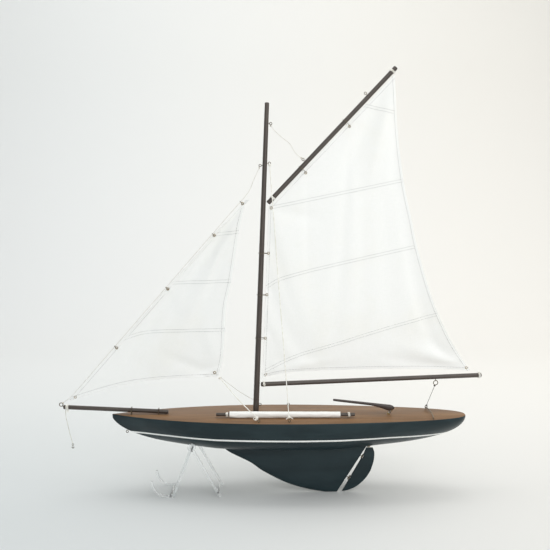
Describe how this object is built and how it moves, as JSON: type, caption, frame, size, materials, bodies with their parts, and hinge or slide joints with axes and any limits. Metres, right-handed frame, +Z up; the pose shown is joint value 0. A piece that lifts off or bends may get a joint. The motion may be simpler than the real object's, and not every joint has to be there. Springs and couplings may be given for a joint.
{
  "type": "model sailing ship",
  "caption": "Wooden pond yacht with a gaff mainsail, a jib on a bowsprit, a fin keel, a raked hinged rudder with its tiller, and a clear stand under the bow.",
  "frame": {"origin": "on the floor that the keel and the stand rest on, under the middle of the whole length from the bowsprit's eye to the boom's end", "axes": "+X aft along the hull, +Y to starboard, +Z up"},
  "size_m": [0.8556, 0.154, 0.8457],
  "materials": {
    "hull_paint": "dark blue-green satin enamel on wood",
    "ballast_lead": "cast lead under the hull's dark enamel",
    "deck_varnish": "warm brown varnished wood",
    "spar_wood": "dark brown stained wood",
    "pale_wood": "bare pale wood",
    "sailcloth": "thin white cotton",
    "cord": "white braided cord",
    "thread": "thin twisted thread",
    "wire": "tarnished steel wire",
    "brass": "dull brass",
    "acrylic": "clear acrylic sheet"
  },
  "bodies": {
    "hull": {"hull_shell": "hull_paint", "deck": "deck_varnish", "deck_beams": "pale_wood", "mast_step": "pale_wood", "keel_fin": "hull_paint", "keel_ballast": "ballast_lead", "keel_bolts": "brass", "rudder_tube": "brass", "rudder_gudgeons": "wire", "mast": "spar_wood", "mast_hoops": "wire", "mast_eyes": "wire", "bowsprit": "spar_wood", "bowsprit_saddles": "wire", "bowsprit_eye": "wire", "bowsprit_lashing": "cord", "stem_eye": "wire", "mainsheet_horse": "wire", "deck_eyes": "wire", "forestay": "thread", "main_halyard": "cord", "peak_halyard": "thread", "jib_sheet_port": "cord", "jib_sheet_starboard": "thread", "stowed_spar": "spar_wood", "rolled_sail": "sailcloth", "spar_ties": "cord", "bobstay": "thread", "bobstay_hook": "wire"},
    "rudder": {"rudder_blade": "hull_paint", "rudder_stock": "brass", "rudder_pintles": "wire", "tiller": "spar_wood", "tiller_pin": "brass"},
    "boom": {"boom": "spar_wood", "boom_eye": "wire", "mainsheet": "thread", "mainsheet_ring": "wire", "boom_lashings": "cord", "mainsail": "sailcloth", "mainsail_eyelets": "brass"},
    "gaff": {"gaff": "spar_wood", "gaff_eyes": "wire", "gaff_hoops": "wire", "gaff_lashings": "cord"},
    "jib": {"jib": "sailcloth", "jib_eyelets": "brass", "jib_hanks": "wire"},
    "stand": {"stand_port": "acrylic", "stand_starboard": "acrylic", "stand_bars": "acrylic"}
  },
  "joints": [
    {"name": "rudder_turn", "type": "hinge", "parent": "hull", "child": "rudder", "pos_m": [0.22884, 0, 0.159], "axis": [0.5135, 0, 0.8581], "range_deg": [-30, 30]},
    {"name": "boom_swing", "type": "hinge", "parent": "hull", "child": "boom", "pos_m": [-0.02386, 0, 0.2193], "axis": [0.0373, 0, 0.9993], "range_deg": [-14, 0]},
    {"name": "gaff_swing", "type": "hinge", "parent": "hull", "child": "gaff", "pos_m": [-0.02386, 0, 0.2193], "axis": [0.0373, 0, 0.9993], "range_deg": [-14, 0], "deforming": ["peak_halyard"]},
    {"name": "jib_swing", "type": "hinge", "parent": "hull", "child": "jib", "pos_m": [-0.40976, 0, 0.1864], "axis": [0.6579, 0, 0.7531], "range_deg": [-5, 5], "deforming": ["jib_sheet_port", "jib_sheet_starboard"]},
    {"name": "stand_lift", "type": "slide", "parent": "hull", "child": "stand", "axis": [0, 0, 1], "range_m": [-0.12, 0]}
  ],
  "couplings": [
    {"joint": "gaff_swing", "follows": "boom_swing", "ratio": 1}
  ]
}
